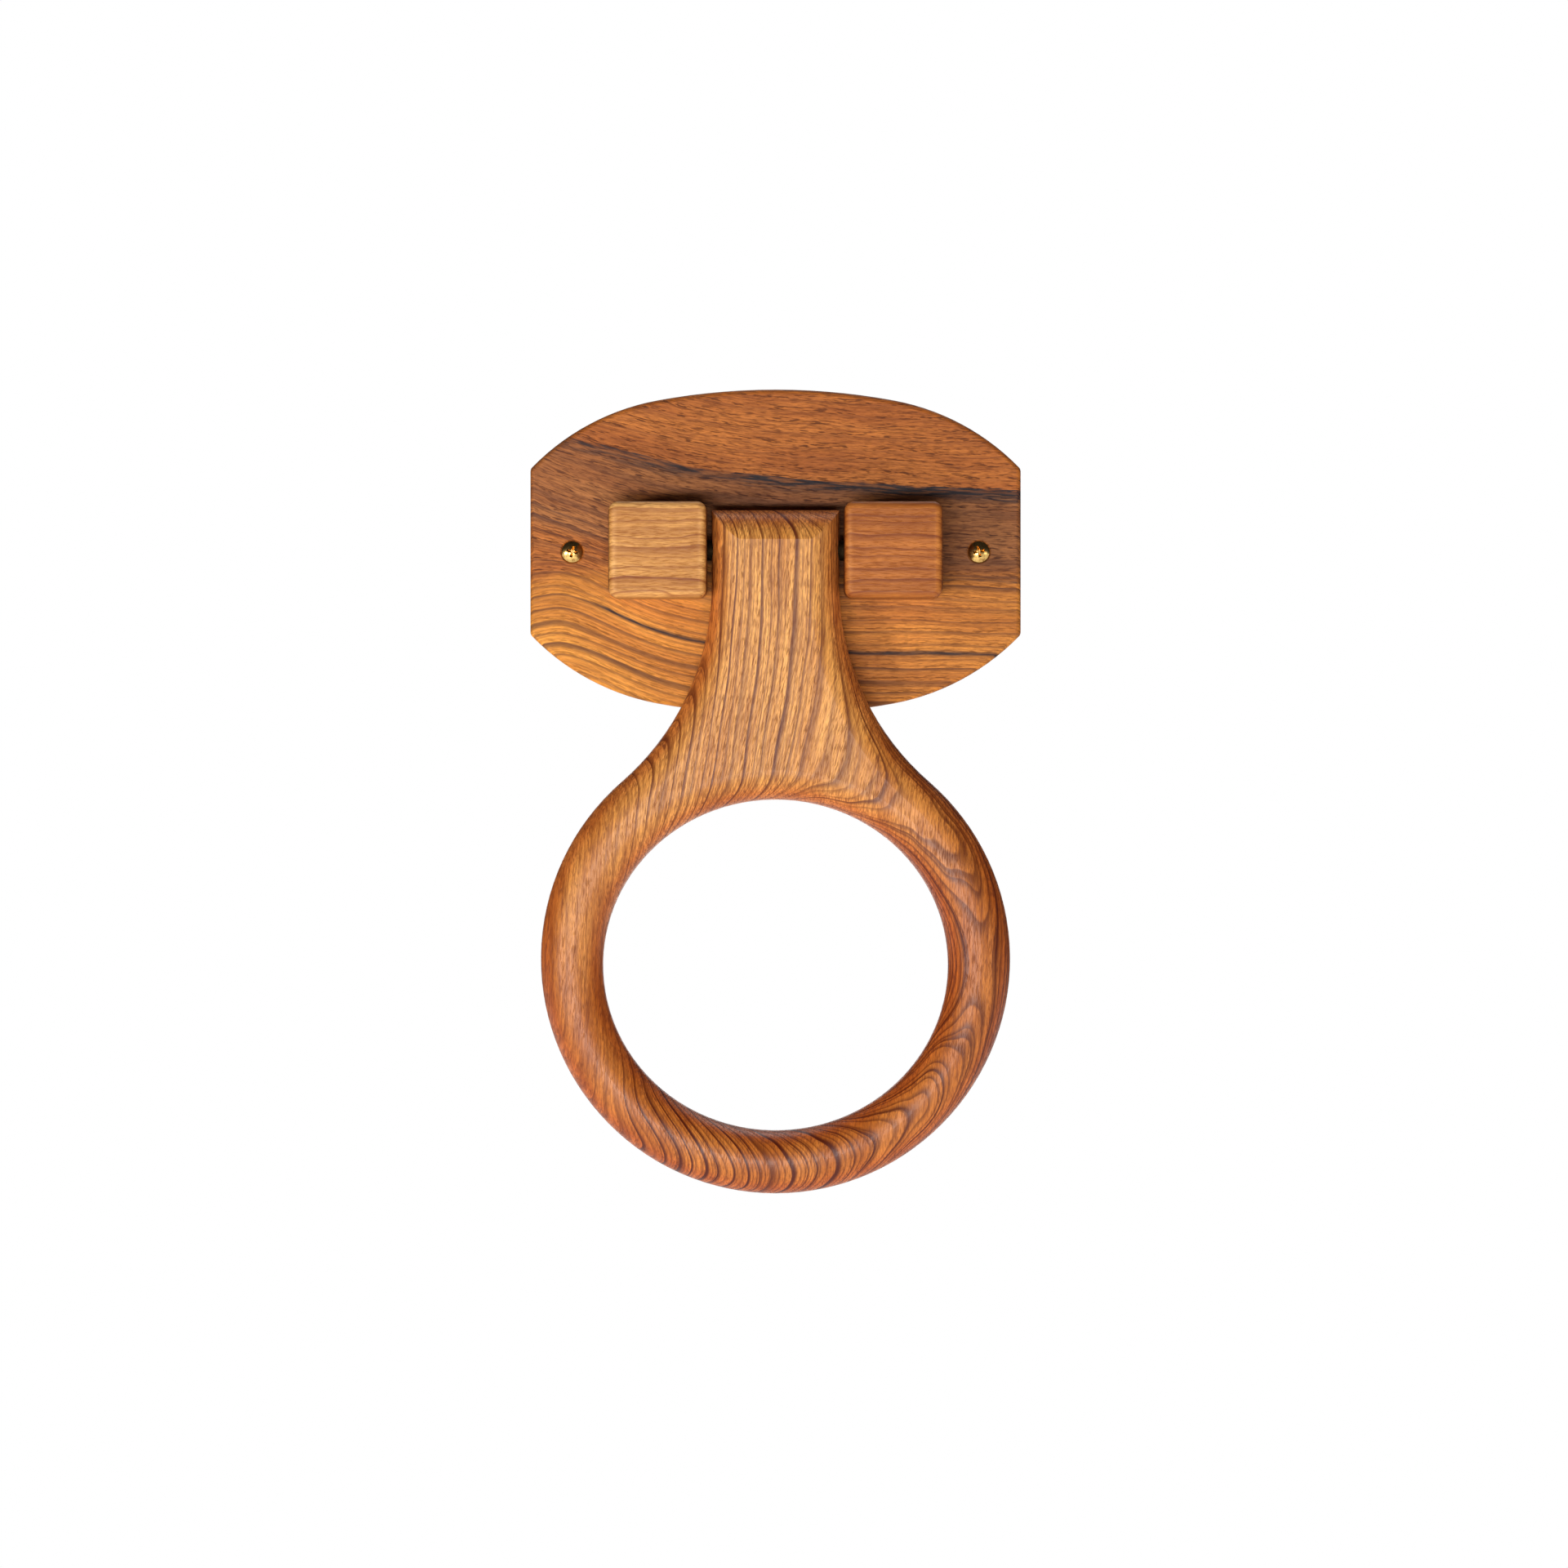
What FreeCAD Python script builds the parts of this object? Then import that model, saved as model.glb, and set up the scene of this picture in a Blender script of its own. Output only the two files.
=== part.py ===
"""Teak ring handle that swings on a brass pin between two blocks on a wall plate.

Frame: millimetres, +X to the right, +Z up, -Y towards the user.  The origin is the centre of the
plate's back face, which lies on the wall.  The hinge axis is parallel to X, in front of the origin.
"""
import FreeCAD, Part
import math
import os
import Sketcher
from FreeCAD import Placement, Rotation, Vector

# Driving dimensions in millimetres and degrees: alias, value, meaning.
DIMENSIONS = [
    ("plate_half_width", 75.5, "wall plate, centre to a straight end"),
    ("plate_half_height", 50.0, "wall plate, centre to the top of its crown"),
    ("plate_end_half", 25.5, "half the length of a straight end"),
    ("plate_crown_radius", 200.0, "flat middle arc of the plate's long edges"),
    ("plate_shoulder_radius", 72.0, "tighter arcs beside the crown"),
    ("plate_thickness", 12.0, "half-inch board, dressed"),
    ("plate_corner_round", 2.0, "corners of the plate seen from the front"),
    ("plate_edge_round", 1.5, "sanded front edge of the plate"),
    ("block_gap_half", 21.0, "centre to the inner face of a pivot block"),
    ("block_width", 30.0, "pivot block along the pin"),
    ("block_height", 29.4, "pivot block, bottom to top"),
    ("block_depth", 25.4, "pivot block, plate to front face"),
    ("block_corner_round", 3.0, "corners of the block seen from the front"),
    ("block_front_round", 2.2, "edges around the block's front face"),
    ("pin_standoff", 13.5, "hinge axis in front of the plate's front face"),
    ("pin_radius", 3.175, "quarter-inch brass rod"),
    ("pin_bore_depth", 12.0, "blind bore for the pin in each block"),
    ("pin_end_gap", 0.5, "free length at each end of the pin"),
    ("pin_chamfer", 0.5, "chamfer on the ends of the pin"),
    ("pin_clearance", 0.05, "radial running clearance in the handle"),
    ("ring_thickness", 19.0, "three-quarter-inch board"),
    ("ring_radius", 71.8, "outside of the ring"),
    ("ring_drop", 125.0, "hinge axis down to the centre of the ring's outside"),
    ("ring_roundover", 9.0, "roundover on every long edge of the handle"),
    ("neck_half_width", 19.5, "straight neck between the blocks"),
    ("neck_top", 12.25, "top end of the neck above the hinge axis"),
    ("neck_flare_radius", 80.0, "hollow curve from the neck to the ring"),
    ("neck_crease", 3.25, "height above the axis where the end starts to round"),
    ("neck_end_radius", 12.0, "rounding of the neck's end, front and back"),
    ("neck_end_flat", 1.0, "half the flat left along the neck's end"),
    ("opening_half_width", 52.75, "hand opening, half across"),
    ("opening_half_height", 50.6, "hand opening, half up and down"),
    ("opening_drop", 126.9, "hinge axis down to the opening's centre"),
    ("mount_screw_offset", 62.6, "centre to a mounting screw"),
    ("block_screw_rise", 8.5, "hinge axis to a block screw, up or down"),
    ("hole_radius", 2.0, "clearance hole for a screw in the plate"),
    ("mount_seat_radius", 3.75, "mouth of a countersink in the plate's front"),
    ("block_seat_radius", 3.7, "mouth of a countersink in the plate's back"),
    ("pilot_radius", 1.2, "pilot hole in a block"),
    ("pilot_depth", 21.0, "depth of a pilot hole in a block"),
    ("head_radius", 3.4, "rim of a screw's head"),
    ("head_half_angle", 41.0, "half of the 82 degree countersink"),
    ("head_rim", 0.15, "height of the head's straight rim"),
    ("head_dome", 0.95, "raised head of a mounting screw above its rim"),
    ("recess_length", 3.7, "across the cross recess"),
    ("recess_width", 0.85, "width of one wing of the cross recess"),
    ("recess_depth", 1.3, "depth of the cross recess below the rim"),
    ("shank_radius", 1.35, "plain shank, rolled to the middle of the thread"),
    ("core_radius", 1.15, "root of the thread"),
    ("crest_radius", 1.75, "crest of the thread"),
    ("crest_width", 0.25, "flat on the crest of the thread"),
    ("root_width", 0.95, "one turn of the thread at its root"),
    ("thread_start", 12.05, "rim of the head to the first turn of the thread"),
    ("thread_pitch", 1.41, "18 turns to the inch"),
    ("screw_length", 31.75, "rim of the head to the point"),
    ("point_length", 3.4, "conical point"),
    ("point_radius", 0.12, "blunt end of the point"),
]
THREAD_TURNS = 12
CUT_MARGIN = 2.0
TOLERANCE = 1e-4
SIDES = {"left": -1, "right": 1}
ROWS = {"upper": 1, "lower": -1}
START, END, CENTRE = 1, 2, 3
ORIGIN, ACROSS_AXIS, UP_AXIS = -1, -1, -2

# Places that several pieces share, as formulas on the sheet.
AXIS_DEPTH = "(Dims.plate_thickness + Dims.pin_standoff)"
PIN_HALF_LENGTH = "(Dims.block_gap_half + Dims.pin_bore_depth - Dims.pin_end_gap)"
BLOCK_CENTRE = "(Dims.block_gap_half + Dims.block_width / 2)"

doc = FreeCAD.newDocument("RingHandle")
sheet = doc.addObject("Spreadsheet::Sheet", "Dims")


def fill_sheet():
    """Writes every driving dimension into the sheet, one row each, under its alias."""
    for row, (alias, number, meaning) in enumerate(DIMENSIONS, start=1):
        sheet.set(f"A{row}", meaning)
        sheet.set(f"B{row}", str(number))
        sheet.setAlias(f"B{row}", alias)
    doc.recompute()


def value(formula):
    """The number that a formula on the sheet's cells comes to."""
    result = sheet.evalExpression(formula)
    return float(getattr(result, "Value", result))


def seat_depth(mouth):
    """How far a head's rim sits below the face when it rests in a countersink with this mouth."""
    return f"({mouth} - Dims.head_radius) / tan(Dims.head_half_angle * 1 deg)"


def new_body(label):
    body = doc.addObject("PartDesign::Body", label)
    body.Label = label
    return body


def new_sketch(body, name, plane, lift=None, turned=False):
    """A sketch on one of the body's own origin planes.

    A formula lifts it along its normal, or it is turned over, so that its normal points back.
    """
    sketch = body.newObject("Sketcher::SketchObject", name)
    support = next(feature for feature in body.Origin.OriginFeatures if feature.Role == plane)
    sketch.AttachmentSupport = (support, "")
    sketch.MapMode = "FlatFace"
    if turned:
        sketch.AttachmentOffset = Placement(Vector(), Rotation(Vector(0, 1, 0), 180))
    if lift:
        sketch.setExpression("AttachmentOffset.Base.z", lift)
    return sketch


def bind(sketch, kind, formula, *where):
    """Adds a dimension whose value follows a formula on the sheet."""
    index = sketch.addConstraint(Sketcher.Constraint(kind, *where, value(formula)))
    sketch.setExpression(f"Constraints[{index}]", formula)


def bind_point(sketch, edge, point, across, up):
    """Holds a point of a sketch at formulas for its two coordinates."""
    bind(sketch, "DistanceX", across, ORIGIN, 1, edge, point)
    bind(sketch, "DistanceY", up, ORIGIN, 1, edge, point)


def add_line(sketch, start, end):
    return sketch.addGeometry(Part.LineSegment(start, end), False)


def add_arc(sketch, centre, start, end):
    """An arc about centre, anticlockwise from start to end."""
    first = math.atan2(start.y - centre.y, start.x - centre.x)
    last = math.atan2(end.y - centre.y, end.x - centre.x)
    if last < first:
        last += 2 * math.pi
    circle = Part.Circle(centre, Vector(0, 0, 1), centre.distanceToPoint(start))
    return sketch.addGeometry(Part.ArcOfCircle(circle, first, last), False)


def add_circle(sketch, across, up, radius):
    """A circle whose centre and radius follow formulas."""
    centre = Vector(value(across), value(up), 0)
    edge = sketch.addGeometry(Part.Circle(centre, Vector(0, 0, 1), value(radius)), False)
    bind_point(sketch, edge, CENTRE, across, up)
    bind(sketch, "Radius", radius, edge)


def add_outline(sketch, corners, arcs=()):
    """A closed outline whose corners are pairs of formulas; edge n runs from corner n to the next.

    arcs lists the edges that are arcs: edge, radius formula, and 1 for an arc that turns left on
    the way round or -1 for one that turns right.
    """
    rounded = {edge: (radius, turn) for edge, radius, turn in arcs}
    places = [Vector(value(across), value(up), 0) for across, up in corners]
    ends = []
    for index, start in enumerate(places):
        end = places[(index + 1) % len(places)]
        if index not in rounded:
            ends.append((add_line(sketch, start, end), START, END))
            continue
        radius, turn = rounded[index]
        chord = end - start
        left = Vector(-chord.y, chord.x, 0).normalize()
        rise = math.sqrt(value(radius) ** 2 - (chord.Length / 2) ** 2)
        centre = start + chord / 2 + left * (turn * rise)
        if turn > 0:
            ends.append((add_arc(sketch, centre, start, end), START, END))
        else:
            ends.append((add_arc(sketch, centre, end, start), END, START))
        bind(sketch, "Radius", radius, ends[-1][0])
    for index, (edge, start, _) in enumerate(ends):
        before, _, last = ends[index - 1]
        sketch.addConstraint(Sketcher.Constraint("Coincident", before, last, edge, start))
        bind_point(sketch, edge, start, *corners[index])


def join(sketch, kind, first, first_point, second, second_point):
    """Joins two edges at their ends, as a corner (Coincident) or smoothly (Tangent)."""
    sketch.addConstraint(Sketcher.Constraint(kind, first, first_point, second, second_point))


def circles_meet(first, first_radius, second, second_radius):
    """Where two circles cross, on the left of the way from the first centre to the second."""
    span = second - first
    along = (span.Length ** 2 + first_radius ** 2 - second_radius ** 2) / (2 * span.Length)
    aside = math.sqrt(first_radius ** 2 - along ** 2)
    left = Vector(-span.y, span.x, 0).normalize()
    return first + span.normalize() * along + left * aside


def mirrored(point, across, up):
    return Vector(point.x * across, point.y * up, 0)


def pad(body, sketch, length, symmetric=False):
    feature = body.newObject("PartDesign::Pad", sketch.Name + "Pad")
    feature.Profile = sketch
    feature.SideType = "Symmetric" if symmetric else "One side"
    feature.setExpression("Length", length)
    sketch.Visibility = False
    doc.recompute()
    return feature


def pocket(body, sketch, length, symmetric=False, along_normal=False):
    """Cuts a sketch into the body, against its normal unless told otherwise, and checks the cut."""
    before = body.Shape.Volume
    feature = body.newObject("PartDesign::Pocket", sketch.Name + "Pocket")
    feature.Profile = sketch
    feature.SideType = "Symmetric" if symmetric else "One side"
    feature.Reversed = along_normal
    feature.setExpression("Length", length)
    sketch.Visibility = False
    doc.recompute()
    if feature.Shape.Volume >= before:
        raise RuntimeError(f"{feature.Name} cuts nothing")
    return feature


def round_edges(body, name, radius, chosen):
    """Fillets the edges of the body's last feature that the test picks."""
    base = body.Tip
    names = [f"Edge{n}" for n, edge in enumerate(base.Shape.Edges, start=1) if chosen(edge)]
    feature = body.newObject("PartDesign::Fillet", name)
    feature.Base = (base, names)
    feature.setExpression("Radius", radius)
    doc.recompute()
    return feature


def lies_at_depth(edge, depth):
    """Whether an edge lies wholly in the plane y = depth."""
    box = edge.BoundBox
    return abs(box.YMin - depth) < TOLERANCE and abs(box.YMax - depth) < TOLERANCE


def countersunk_holes(body, name, sketch, mouth):
    """Drills a through hole with an 82 degree countersink at every circle, against the normal."""
    before = body.Shape.Volume
    doc.recompute()
    feature = body.newObject("PartDesign::Hole", name)
    feature.Profile = sketch
    feature.Threaded = False
    feature.DepthType = "ThroughAll"
    feature.HoleCutType = "Countersink"
    feature.setExpression("Diameter", "2 * Dims.hole_radius")
    feature.setExpression("HoleCutDiameter", f"2 * {mouth}")
    feature.setExpression("HoleCutCountersinkAngle", "2 * Dims.head_half_angle")
    sketch.Visibility = False
    doc.recompute()
    if feature.Shape.Volume >= before:
        raise RuntimeError(f"{name} cuts nothing")


def draw_plate_outline(sketch):
    """Straight ends joined by long edges of three smooth arcs: shoulder, crown, shoulder."""
    crown_radius = value("Dims.plate_crown_radius")
    shoulder_radius = value("Dims.plate_shoulder_radius")
    corner = Vector(value("Dims.plate_half_width"), value("Dims.plate_end_half"), 0)
    crown = Vector(0, value("Dims.plate_half_height") - crown_radius, 0)
    shoulder = circles_meet(crown, crown_radius - shoulder_radius, corner, shoulder_radius)
    junction = crown + (shoulder - crown).normalize() * crown_radius

    right = add_line(sketch, mirrored(corner, 1, -1), corner)
    upper_right = add_arc(sketch, shoulder, corner, junction)
    top = add_arc(sketch, crown, junction, mirrored(junction, -1, 1))
    upper_left = add_arc(sketch, mirrored(shoulder, -1, 1), mirrored(junction, -1, 1),
                         mirrored(corner, -1, 1))
    left = add_line(sketch, mirrored(corner, -1, 1), mirrored(corner, -1, -1))
    lower_left = add_arc(sketch, mirrored(shoulder, -1, -1), mirrored(corner, -1, -1),
                         mirrored(junction, -1, -1))
    bottom = add_arc(sketch, mirrored(crown, 1, -1), mirrored(junction, -1, -1),
                     mirrored(junction, 1, -1))
    lower_right = add_arc(sketch, mirrored(shoulder, 1, -1), mirrored(junction, 1, -1),
                          mirrored(corner, 1, -1))

    shoulders = (upper_right, upper_left, lower_left, lower_right)
    loop = (right, upper_right, top, upper_left, left, lower_left, bottom, lower_right)
    for index, edge in enumerate(loop):
        before = loop[index - 1]
        kind = "Coincident" if right in (before, edge) or left in (before, edge) else "Tangent"
        join(sketch, kind, before, END, edge, START)
    sketch.addConstraint(Sketcher.Constraint("Symmetric", right, START, right, END, ACROSS_AXIS))
    sketch.addConstraint(Sketcher.Constraint("Symmetric", left, START, left, END, ACROSS_AXIS))
    sketch.addConstraint(Sketcher.Constraint("Symmetric", right, END, left, START, UP_AXIS))
    bind_point(sketch, right, END, "Dims.plate_half_width", "Dims.plate_end_half")
    for edge in shoulders:
        bind(sketch, "Radius", "Dims.plate_shoulder_radius", edge)
    for edge, sign in ((top, 1), (bottom, -1)):
        bind(sketch, "Radius", "Dims.plate_crown_radius", edge)
        bind_point(sketch, edge, CENTRE, "0",
                   f"{sign} * (Dims.plate_half_height - Dims.plate_crown_radius)")


def build_back_plate():
    """The wall plate, with its front edge sanded round and six countersunk screw holes."""
    body = new_body("back_plate")
    outline = new_sketch(body, "PlateOutline", "XZ_Plane")
    draw_plate_outline(outline)
    pad(body, outline, "Dims.plate_thickness")
    front = -value("Dims.plate_thickness")
    half_width = value("Dims.plate_half_width")

    def corner_edge(edge):
        goes_back = edge.BoundBox.YLength > TOLERANCE
        return goes_back and abs(edge.CenterOfMass.x) > half_width - TOLERANCE

    round_edges(body, "PlateCorners", "Dims.plate_corner_round", corner_edge)
    round_edges(body, "PlateEdgeRound", "Dims.plate_edge_round",
                lambda edge: lies_at_depth(edge, front))

    mount_holes = new_sketch(body, "MountHoles", "XZ_Plane", "Dims.plate_thickness")
    for side in SIDES.values():
        add_circle(mount_holes, f"{side} * Dims.mount_screw_offset", "0", "Dims.hole_radius")
    countersunk_holes(body, "MountCountersinks", mount_holes, "Dims.mount_seat_radius")

    block_holes = new_sketch(body, "BlockHoles", "XZ_Plane", turned=True)
    for side in SIDES.values():
        for row in ROWS.values():
            add_circle(block_holes, f"{side} * {BLOCK_CENTRE}", f"{row} * Dims.block_screw_rise",
                       "Dims.hole_radius")
    countersunk_holes(body, "BlockCountersinks", block_holes, "Dims.block_seat_radius")
    return body


def build_pivot_block(name, side):
    """A block glued and screwed to the plate, with a blind bore for one end of the pin.

    It is drawn as the right block, from the middle of its inner face at the plate.  The left one
    is the same block turned half round about the view direction.
    """
    body = new_body(f"{name}_pivot_block")
    face = new_sketch(body, name + "BlockFace", "XZ_Plane")
    half = "Dims.block_height / 2"
    add_outline(face, [("0", f"-{half}"), ("Dims.block_width", f"-{half}"),
                       ("Dims.block_width", half), ("0", half)])
    pad(body, face, "Dims.block_depth")
    depth = value("Dims.block_depth")
    round_edges(body, name + "BlockCorners", "Dims.block_corner_round",
                lambda edge: edge.BoundBox.YLength > depth / 2)
    round_edges(body, name + "BlockFront", "Dims.block_front_round",
                lambda edge: lies_at_depth(edge, -depth))

    bore = new_sketch(body, name + "PinBore", "YZ_Plane")
    add_circle(bore, "-Dims.pin_standoff", "0", "Dims.pin_radius")
    pocket(body, bore, "Dims.pin_bore_depth", along_normal=True)

    pilots = new_sketch(body, name + "Pilots", "XZ_Plane")
    for row in ROWS.values():
        add_circle(pilots, "Dims.block_width / 2", f"{row} * Dims.block_screw_rise",
                   "Dims.pilot_radius")
    pocket(body, pilots, "Dims.pilot_depth", along_normal=True)

    body.Placement.Rotation = Rotation(Vector(0, 1, 0), 0 if side > 0 else 180)
    body.setExpression("Placement.Base.x", f"{side} * Dims.block_gap_half")
    body.setExpression("Placement.Base.y", "-Dims.plate_thickness")
    return body


def draw_handle_outline(sketch):
    """A straight neck that flares through a hollow curve on each side into the ring's outside."""
    half = value("Dims.neck_half_width")
    flare_radius = value("Dims.neck_flare_radius")
    ring_radius = value("Dims.ring_radius")
    ring = Vector(0, -value("Dims.ring_drop"), 0)
    reach = half + flare_radius
    flare = Vector(reach, ring.y + math.sqrt((flare_radius + ring_radius) ** 2 - reach ** 2), 0)
    touch = ring + (flare - ring).normalize() * ring_radius
    foot = Vector(half, flare.y, 0)
    corner = Vector(half, value("Dims.neck_top"), 0)

    top = add_line(sketch, corner, mirrored(corner, -1, 1))
    left = add_line(sketch, mirrored(corner, -1, 1), mirrored(foot, -1, 1))
    left_flare = add_arc(sketch, mirrored(flare, -1, 1), mirrored(touch, -1, 1),
                         mirrored(foot, -1, 1))
    round_part = add_arc(sketch, ring, mirrored(touch, -1, 1), touch)
    right_flare = add_arc(sketch, flare, foot, touch)
    right = add_line(sketch, foot, corner)

    join(sketch, "Coincident", top, END, left, START)
    join(sketch, "Tangent", left, END, left_flare, END)
    join(sketch, "Tangent", left_flare, START, round_part, START)
    join(sketch, "Tangent", round_part, END, right_flare, END)
    join(sketch, "Tangent", right_flare, START, right, START)
    join(sketch, "Coincident", right, END, top, START)
    sketch.addConstraint(Sketcher.Constraint("Symmetric", top, START, top, END, UP_AXIS))
    sketch.addConstraint(Sketcher.Constraint("Vertical", left))
    sketch.addConstraint(Sketcher.Constraint("Vertical", right))
    bind_point(sketch, top, START, "Dims.neck_half_width", "Dims.neck_top")
    bind_point(sketch, round_part, CENTRE, "0", "-Dims.ring_drop")
    bind(sketch, "Radius", "Dims.ring_radius", round_part)
    for edge in (left_flare, right_flare):
        bind(sketch, "Radius", "Dims.neck_flare_radius", edge)


def draw_opening(sketch):
    """The hand opening, an ellipse a little wider than it is high."""
    centre = Vector(0, -value("Dims.opening_drop"), 0)
    right = centre + Vector(value("Dims.opening_half_width"), 0, 0)
    top = centre + Vector(0, value("Dims.opening_half_height"), 0)
    ellipse = sketch.addGeometry(Part.Ellipse(right, top, centre), False)
    sketch.exposeInternalGeometry(ellipse)
    long_axis, short_axis = ellipse + 1, ellipse + 2
    bind_point(sketch, ellipse, CENTRE, "0", "-Dims.opening_drop")
    sketch.addConstraint(Sketcher.Constraint("Horizontal", long_axis))
    bind(sketch, "Distance", "2 * Dims.opening_half_width", long_axis)
    bind(sketch, "Distance", "2 * Dims.opening_half_height", short_axis)


def build_ring_handle():
    """Neck and ring from one board, rounded front and back, and bored across for the pin.

    It is drawn about the hinge axis, with the board's middle at y = 0.
    """
    body = new_body("ring_handle")
    outline = new_sketch(body, "HandleOutline", "XZ_Plane")
    draw_handle_outline(outline)
    draw_opening(outline)
    pad(body, outline, "Dims.ring_thickness", symmetric=True)
    face = value("Dims.ring_thickness") / 2
    neck_top = value("Dims.neck_top")

    def long_edge(edge):
        on_a_face = lies_at_depth(edge, face) or lies_at_depth(edge, -face)
        return on_a_face and edge.BoundBox.ZMin < neck_top - TOLERANCE

    round_edges(body, "HandleRoundover", "Dims.ring_roundover", long_edge)

    end_cut = new_sketch(body, "NeckEnd", "YZ_Plane")
    above = f"Dims.neck_top + {CUT_MARGIN}"
    for sign in (1, -1):
        surface = f"{sign} * Dims.ring_thickness / 2"
        outside = f"{sign} * (Dims.ring_thickness / 2 + {CUT_MARGIN})"
        flat = f"{sign} * Dims.neck_end_flat"
        add_outline(end_cut,
                    [(surface, "Dims.neck_crease"), (flat, "Dims.neck_top"), (flat, above),
                     (outside, above), (outside, "Dims.neck_crease")],
                    arcs=[(0, "Dims.neck_end_radius", sign)])
    pocket(body, end_cut, "4 * Dims.neck_half_width", symmetric=True)

    bore = new_sketch(body, "HandleBore", "YZ_Plane")
    add_circle(bore, "0", "0", "Dims.pin_radius + Dims.pin_clearance")
    pocket(body, bore, "4 * Dims.neck_half_width", symmetric=True)
    body.setExpression("Placement.Base.y", f"-{AXIS_DEPTH}")
    return body


def build_pivot_pin():
    """Brass rod held in both blocks, with chamfered ends."""
    body = new_body("pivot_pin")
    section = new_sketch(body, "PinSection", "YZ_Plane")
    add_circle(section, "0", "0", "Dims.pin_radius")
    rod = pad(body, section, f"2 * {PIN_HALF_LENGTH}", symmetric=True)
    rims = [f"Edge{n}" for n, edge in enumerate(rod.Shape.Edges, start=1)
            if edge.BoundBox.XLength < TOLERANCE]
    chamfer = body.newObject("PartDesign::Chamfer", "PinChamfer")
    chamfer.Base = (rod, rims)
    chamfer.setExpression("Size", "Dims.pin_chamfer")
    body.setExpression("Placement.Base.y", f"-{AXIS_DEPTH}")
    return body


def revolve(body, sketch):
    """Turns a half section about the screw's axis, which is the sketch's vertical axis."""
    feature = body.newObject("PartDesign::Revolution", sketch.Name + "Turned")
    feature.Profile = sketch
    feature.ReferenceAxis = (sketch, ["V_Axis"])
    feature.Angle = 360
    sketch.Visibility = False
    return feature


def build_screw(label, raised):
    """Number 6 brass wood screw along +Y, with the rim of its head at y = 0.

    raised gives the domed head of a mounting screw.  Otherwise the head is flat.
    """
    body = new_body(label)
    blank = new_sketch(body, label + "Blank", "XY_Plane")
    crown = "-(Dims.head_rim + Dims.head_dome)" if raised else "-Dims.head_rim"
    cone = "(Dims.head_radius - Dims.shank_radius) / tan(Dims.head_half_angle * 1 deg)"
    taper = "Dims.screw_length - Dims.point_length"
    dome = "(Dims.head_radius ^ 2 + Dims.head_dome ^ 2) / (2 * Dims.head_dome)"
    add_outline(blank,
                [("0", crown), ("Dims.head_radius", "-Dims.head_rim"), ("Dims.head_radius", "0"),
                 ("Dims.shank_radius", cone), ("Dims.shank_radius", "Dims.thread_start"),
                 ("Dims.core_radius", "Dims.thread_start"), ("Dims.core_radius", taper),
                 ("Dims.point_radius", "Dims.screw_length"), ("0", "Dims.screw_length")],
                arcs=[(0, dome, 1)] if raised else ())
    revolve(body, blank)

    turn = new_sketch(body, label + "Turn", "XY_Plane")
    inside = "Dims.core_radius / 2"
    root = "Dims.root_width / 2"
    crest = "Dims.crest_width / 2"
    add_outline(turn,
                [(inside, f"Dims.thread_start - {root}"),
                 ("Dims.core_radius", f"Dims.thread_start - {root}"),
                 ("Dims.crest_radius", f"Dims.thread_start - {crest}"),
                 ("Dims.crest_radius", f"Dims.thread_start + {crest}"),
                 ("Dims.core_radius", f"Dims.thread_start + {root}"),
                 (inside, f"Dims.thread_start + {root}")])
    ridge = revolve(body, turn)
    doc.recompute()
    thread = body.newObject("PartDesign::LinearPattern", label + "Thread")
    thread.Originals = [ridge]
    thread.Direction = (turn, ["V_Axis"])
    thread.Occurrences = THREAD_TURNS
    thread.setExpression("Length", f"{THREAD_TURNS - 1} * Dims.thread_pitch")
    body.Tip = thread
    doc.recompute()

    top = "Dims.head_rim + Dims.head_dome" if raised else "Dims.head_rim"
    half_length = "Dims.recess_length / 2"
    half_width = "Dims.recess_width / 2"
    for wing, (across, up) in {"Flat": (half_length, half_width),
                               "Tall": (half_width, half_length)}.items():
        slot = new_sketch(body, label + wing, "XZ_Plane", top)
        add_outline(slot, [(f"-{across}", f"-{up}"), (across, f"-{up}"),
                           (across, up), (f"-{across}", up)])
        pocket(body, slot, f"{top} + Dims.recess_depth")
    return body


def build_mount_screw(name, side):
    """A raised-head screw from the front of the plate into the wall."""
    body = build_screw(f"{name}_mount_screw", raised=True)
    body.setExpression("Placement.Base.x", f"{side} * Dims.mount_screw_offset")
    body.setExpression("Placement.Base.y",
                       f"{seat_depth('Dims.mount_seat_radius')} - Dims.plate_thickness")
    return body


def build_block_screw(name, side, row_name, row):
    """A flat-head screw from the back of the plate into a block, turned to point forwards."""
    body = build_screw(f"{name}_{row_name}_block_screw", raised=False)
    body.Placement.Rotation = Rotation(Vector(0, 0, 1), 180)
    body.setExpression("Placement.Base.x", f"{side} * {BLOCK_CENTRE}")
    body.setExpression("Placement.Base.y", f"-({seat_depth('Dims.block_seat_radius')})")
    body.setExpression("Placement.Base.z", f"{row} * Dims.block_screw_rise")
    return body


def build_all():
    bodies = [build_back_plate(), build_ring_handle(), build_pivot_pin()]
    for name, side in SIDES.items():
        bodies.append(build_pivot_block(name, side))
        bodies.append(build_mount_screw(name, side))
        for row_name, row in ROWS.items():
            bodies.append(build_block_screw(name, side, row_name, row))
    return bodies


def check(bodies):
    """Stops the build if any object failed or any piece isn't one valid solid."""
    for item in doc.Objects:
        if "Invalid" in item.State or "Error" in item.State:
            raise RuntimeError(f"{item.Name} failed: {item.State}")
    for body in bodies:
        shape = body.Shape
        if shape.isNull() or not shape.isValid() or len(shape.Solids) != 1:
            raise RuntimeError(f"{body.Label} is not one valid solid")


def export(bodies):
    os.makedirs("parts", exist_ok=True)
    for body in bodies:
        body.Shape.exportStep(f"parts/{body.Label}.step")


fill_sheet()
pieces = build_all()
doc.recompute()
check(pieces)
export(pieces)
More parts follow.
